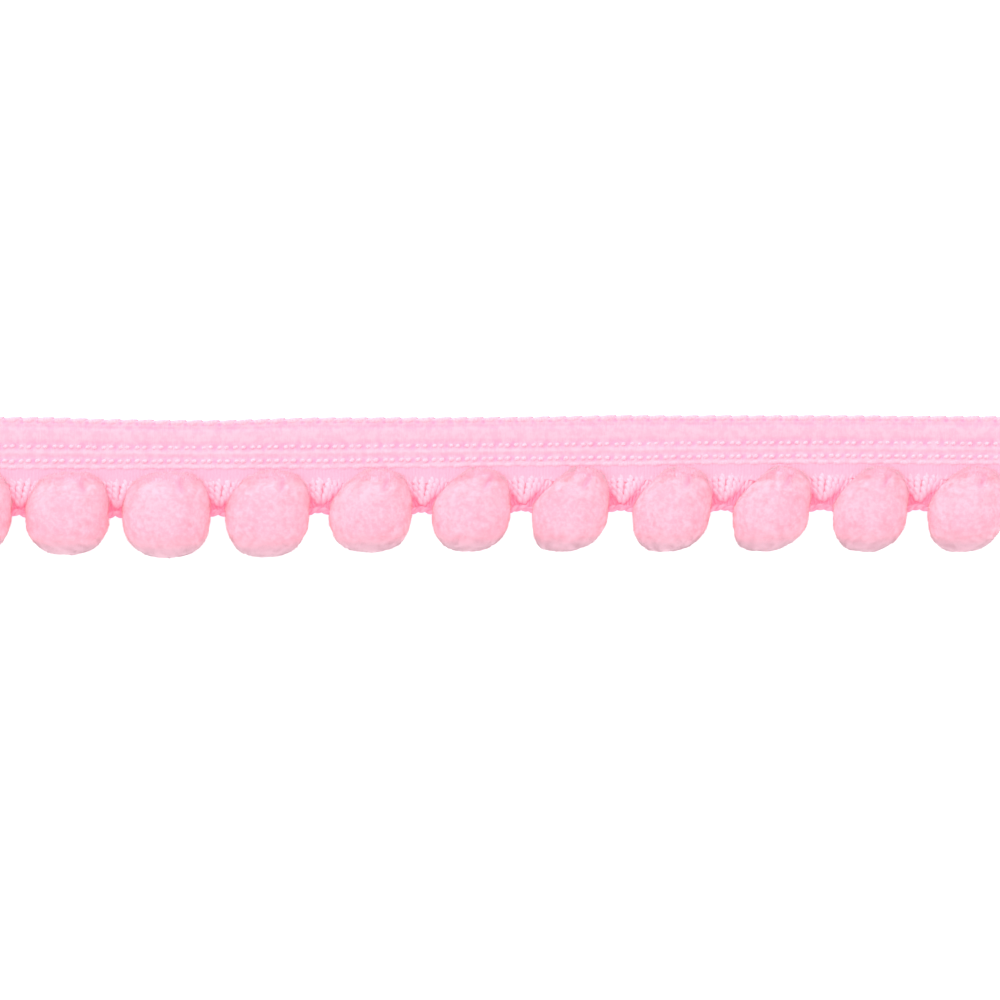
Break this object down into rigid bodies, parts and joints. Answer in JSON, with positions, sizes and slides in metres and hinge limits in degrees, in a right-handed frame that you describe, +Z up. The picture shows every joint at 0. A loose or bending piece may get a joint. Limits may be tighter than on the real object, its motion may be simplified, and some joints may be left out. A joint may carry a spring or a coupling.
{
  "type": "pompom fringe trim",
  "caption": "Cut length of knitted heading tape with a row of soft round pompoms held below it on twisted yarn loops and a chain, lying face up.",
  "frame": {"origin": "centre of the bounding box on the surface that the trim lies on", "axes": "+X along the tape, +Y across it from the pompoms to the tape's top edge, +Z up from its face"},
  "size_m": [0.109, 0.0142, 0.0078],
  "materials": {
    "tape_cloth": "matt knitted polyester",
    "loop_yarn": "twisted polyester yarn",
    "pompom_pile": "velvety cut pile"
  },
  "bodies": {
    "root": {"heading_tape": "tape_cloth", "loop_foot": "loop_yarn", "pompom_00": "pompom_pile", "pompom_01": "pompom_pile", "pompom_02": "pompom_pile", "pompom_03": "pompom_pile", "pompom_04": "pompom_pile", "pompom_05": "pompom_pile", "pompom_06": "pompom_pile", "pompom_07": "pompom_pile", "pompom_08": "pompom_pile", "pompom_09": "pompom_pile", "pompom_10": "pompom_pile"}
  },
  "joints": []
}
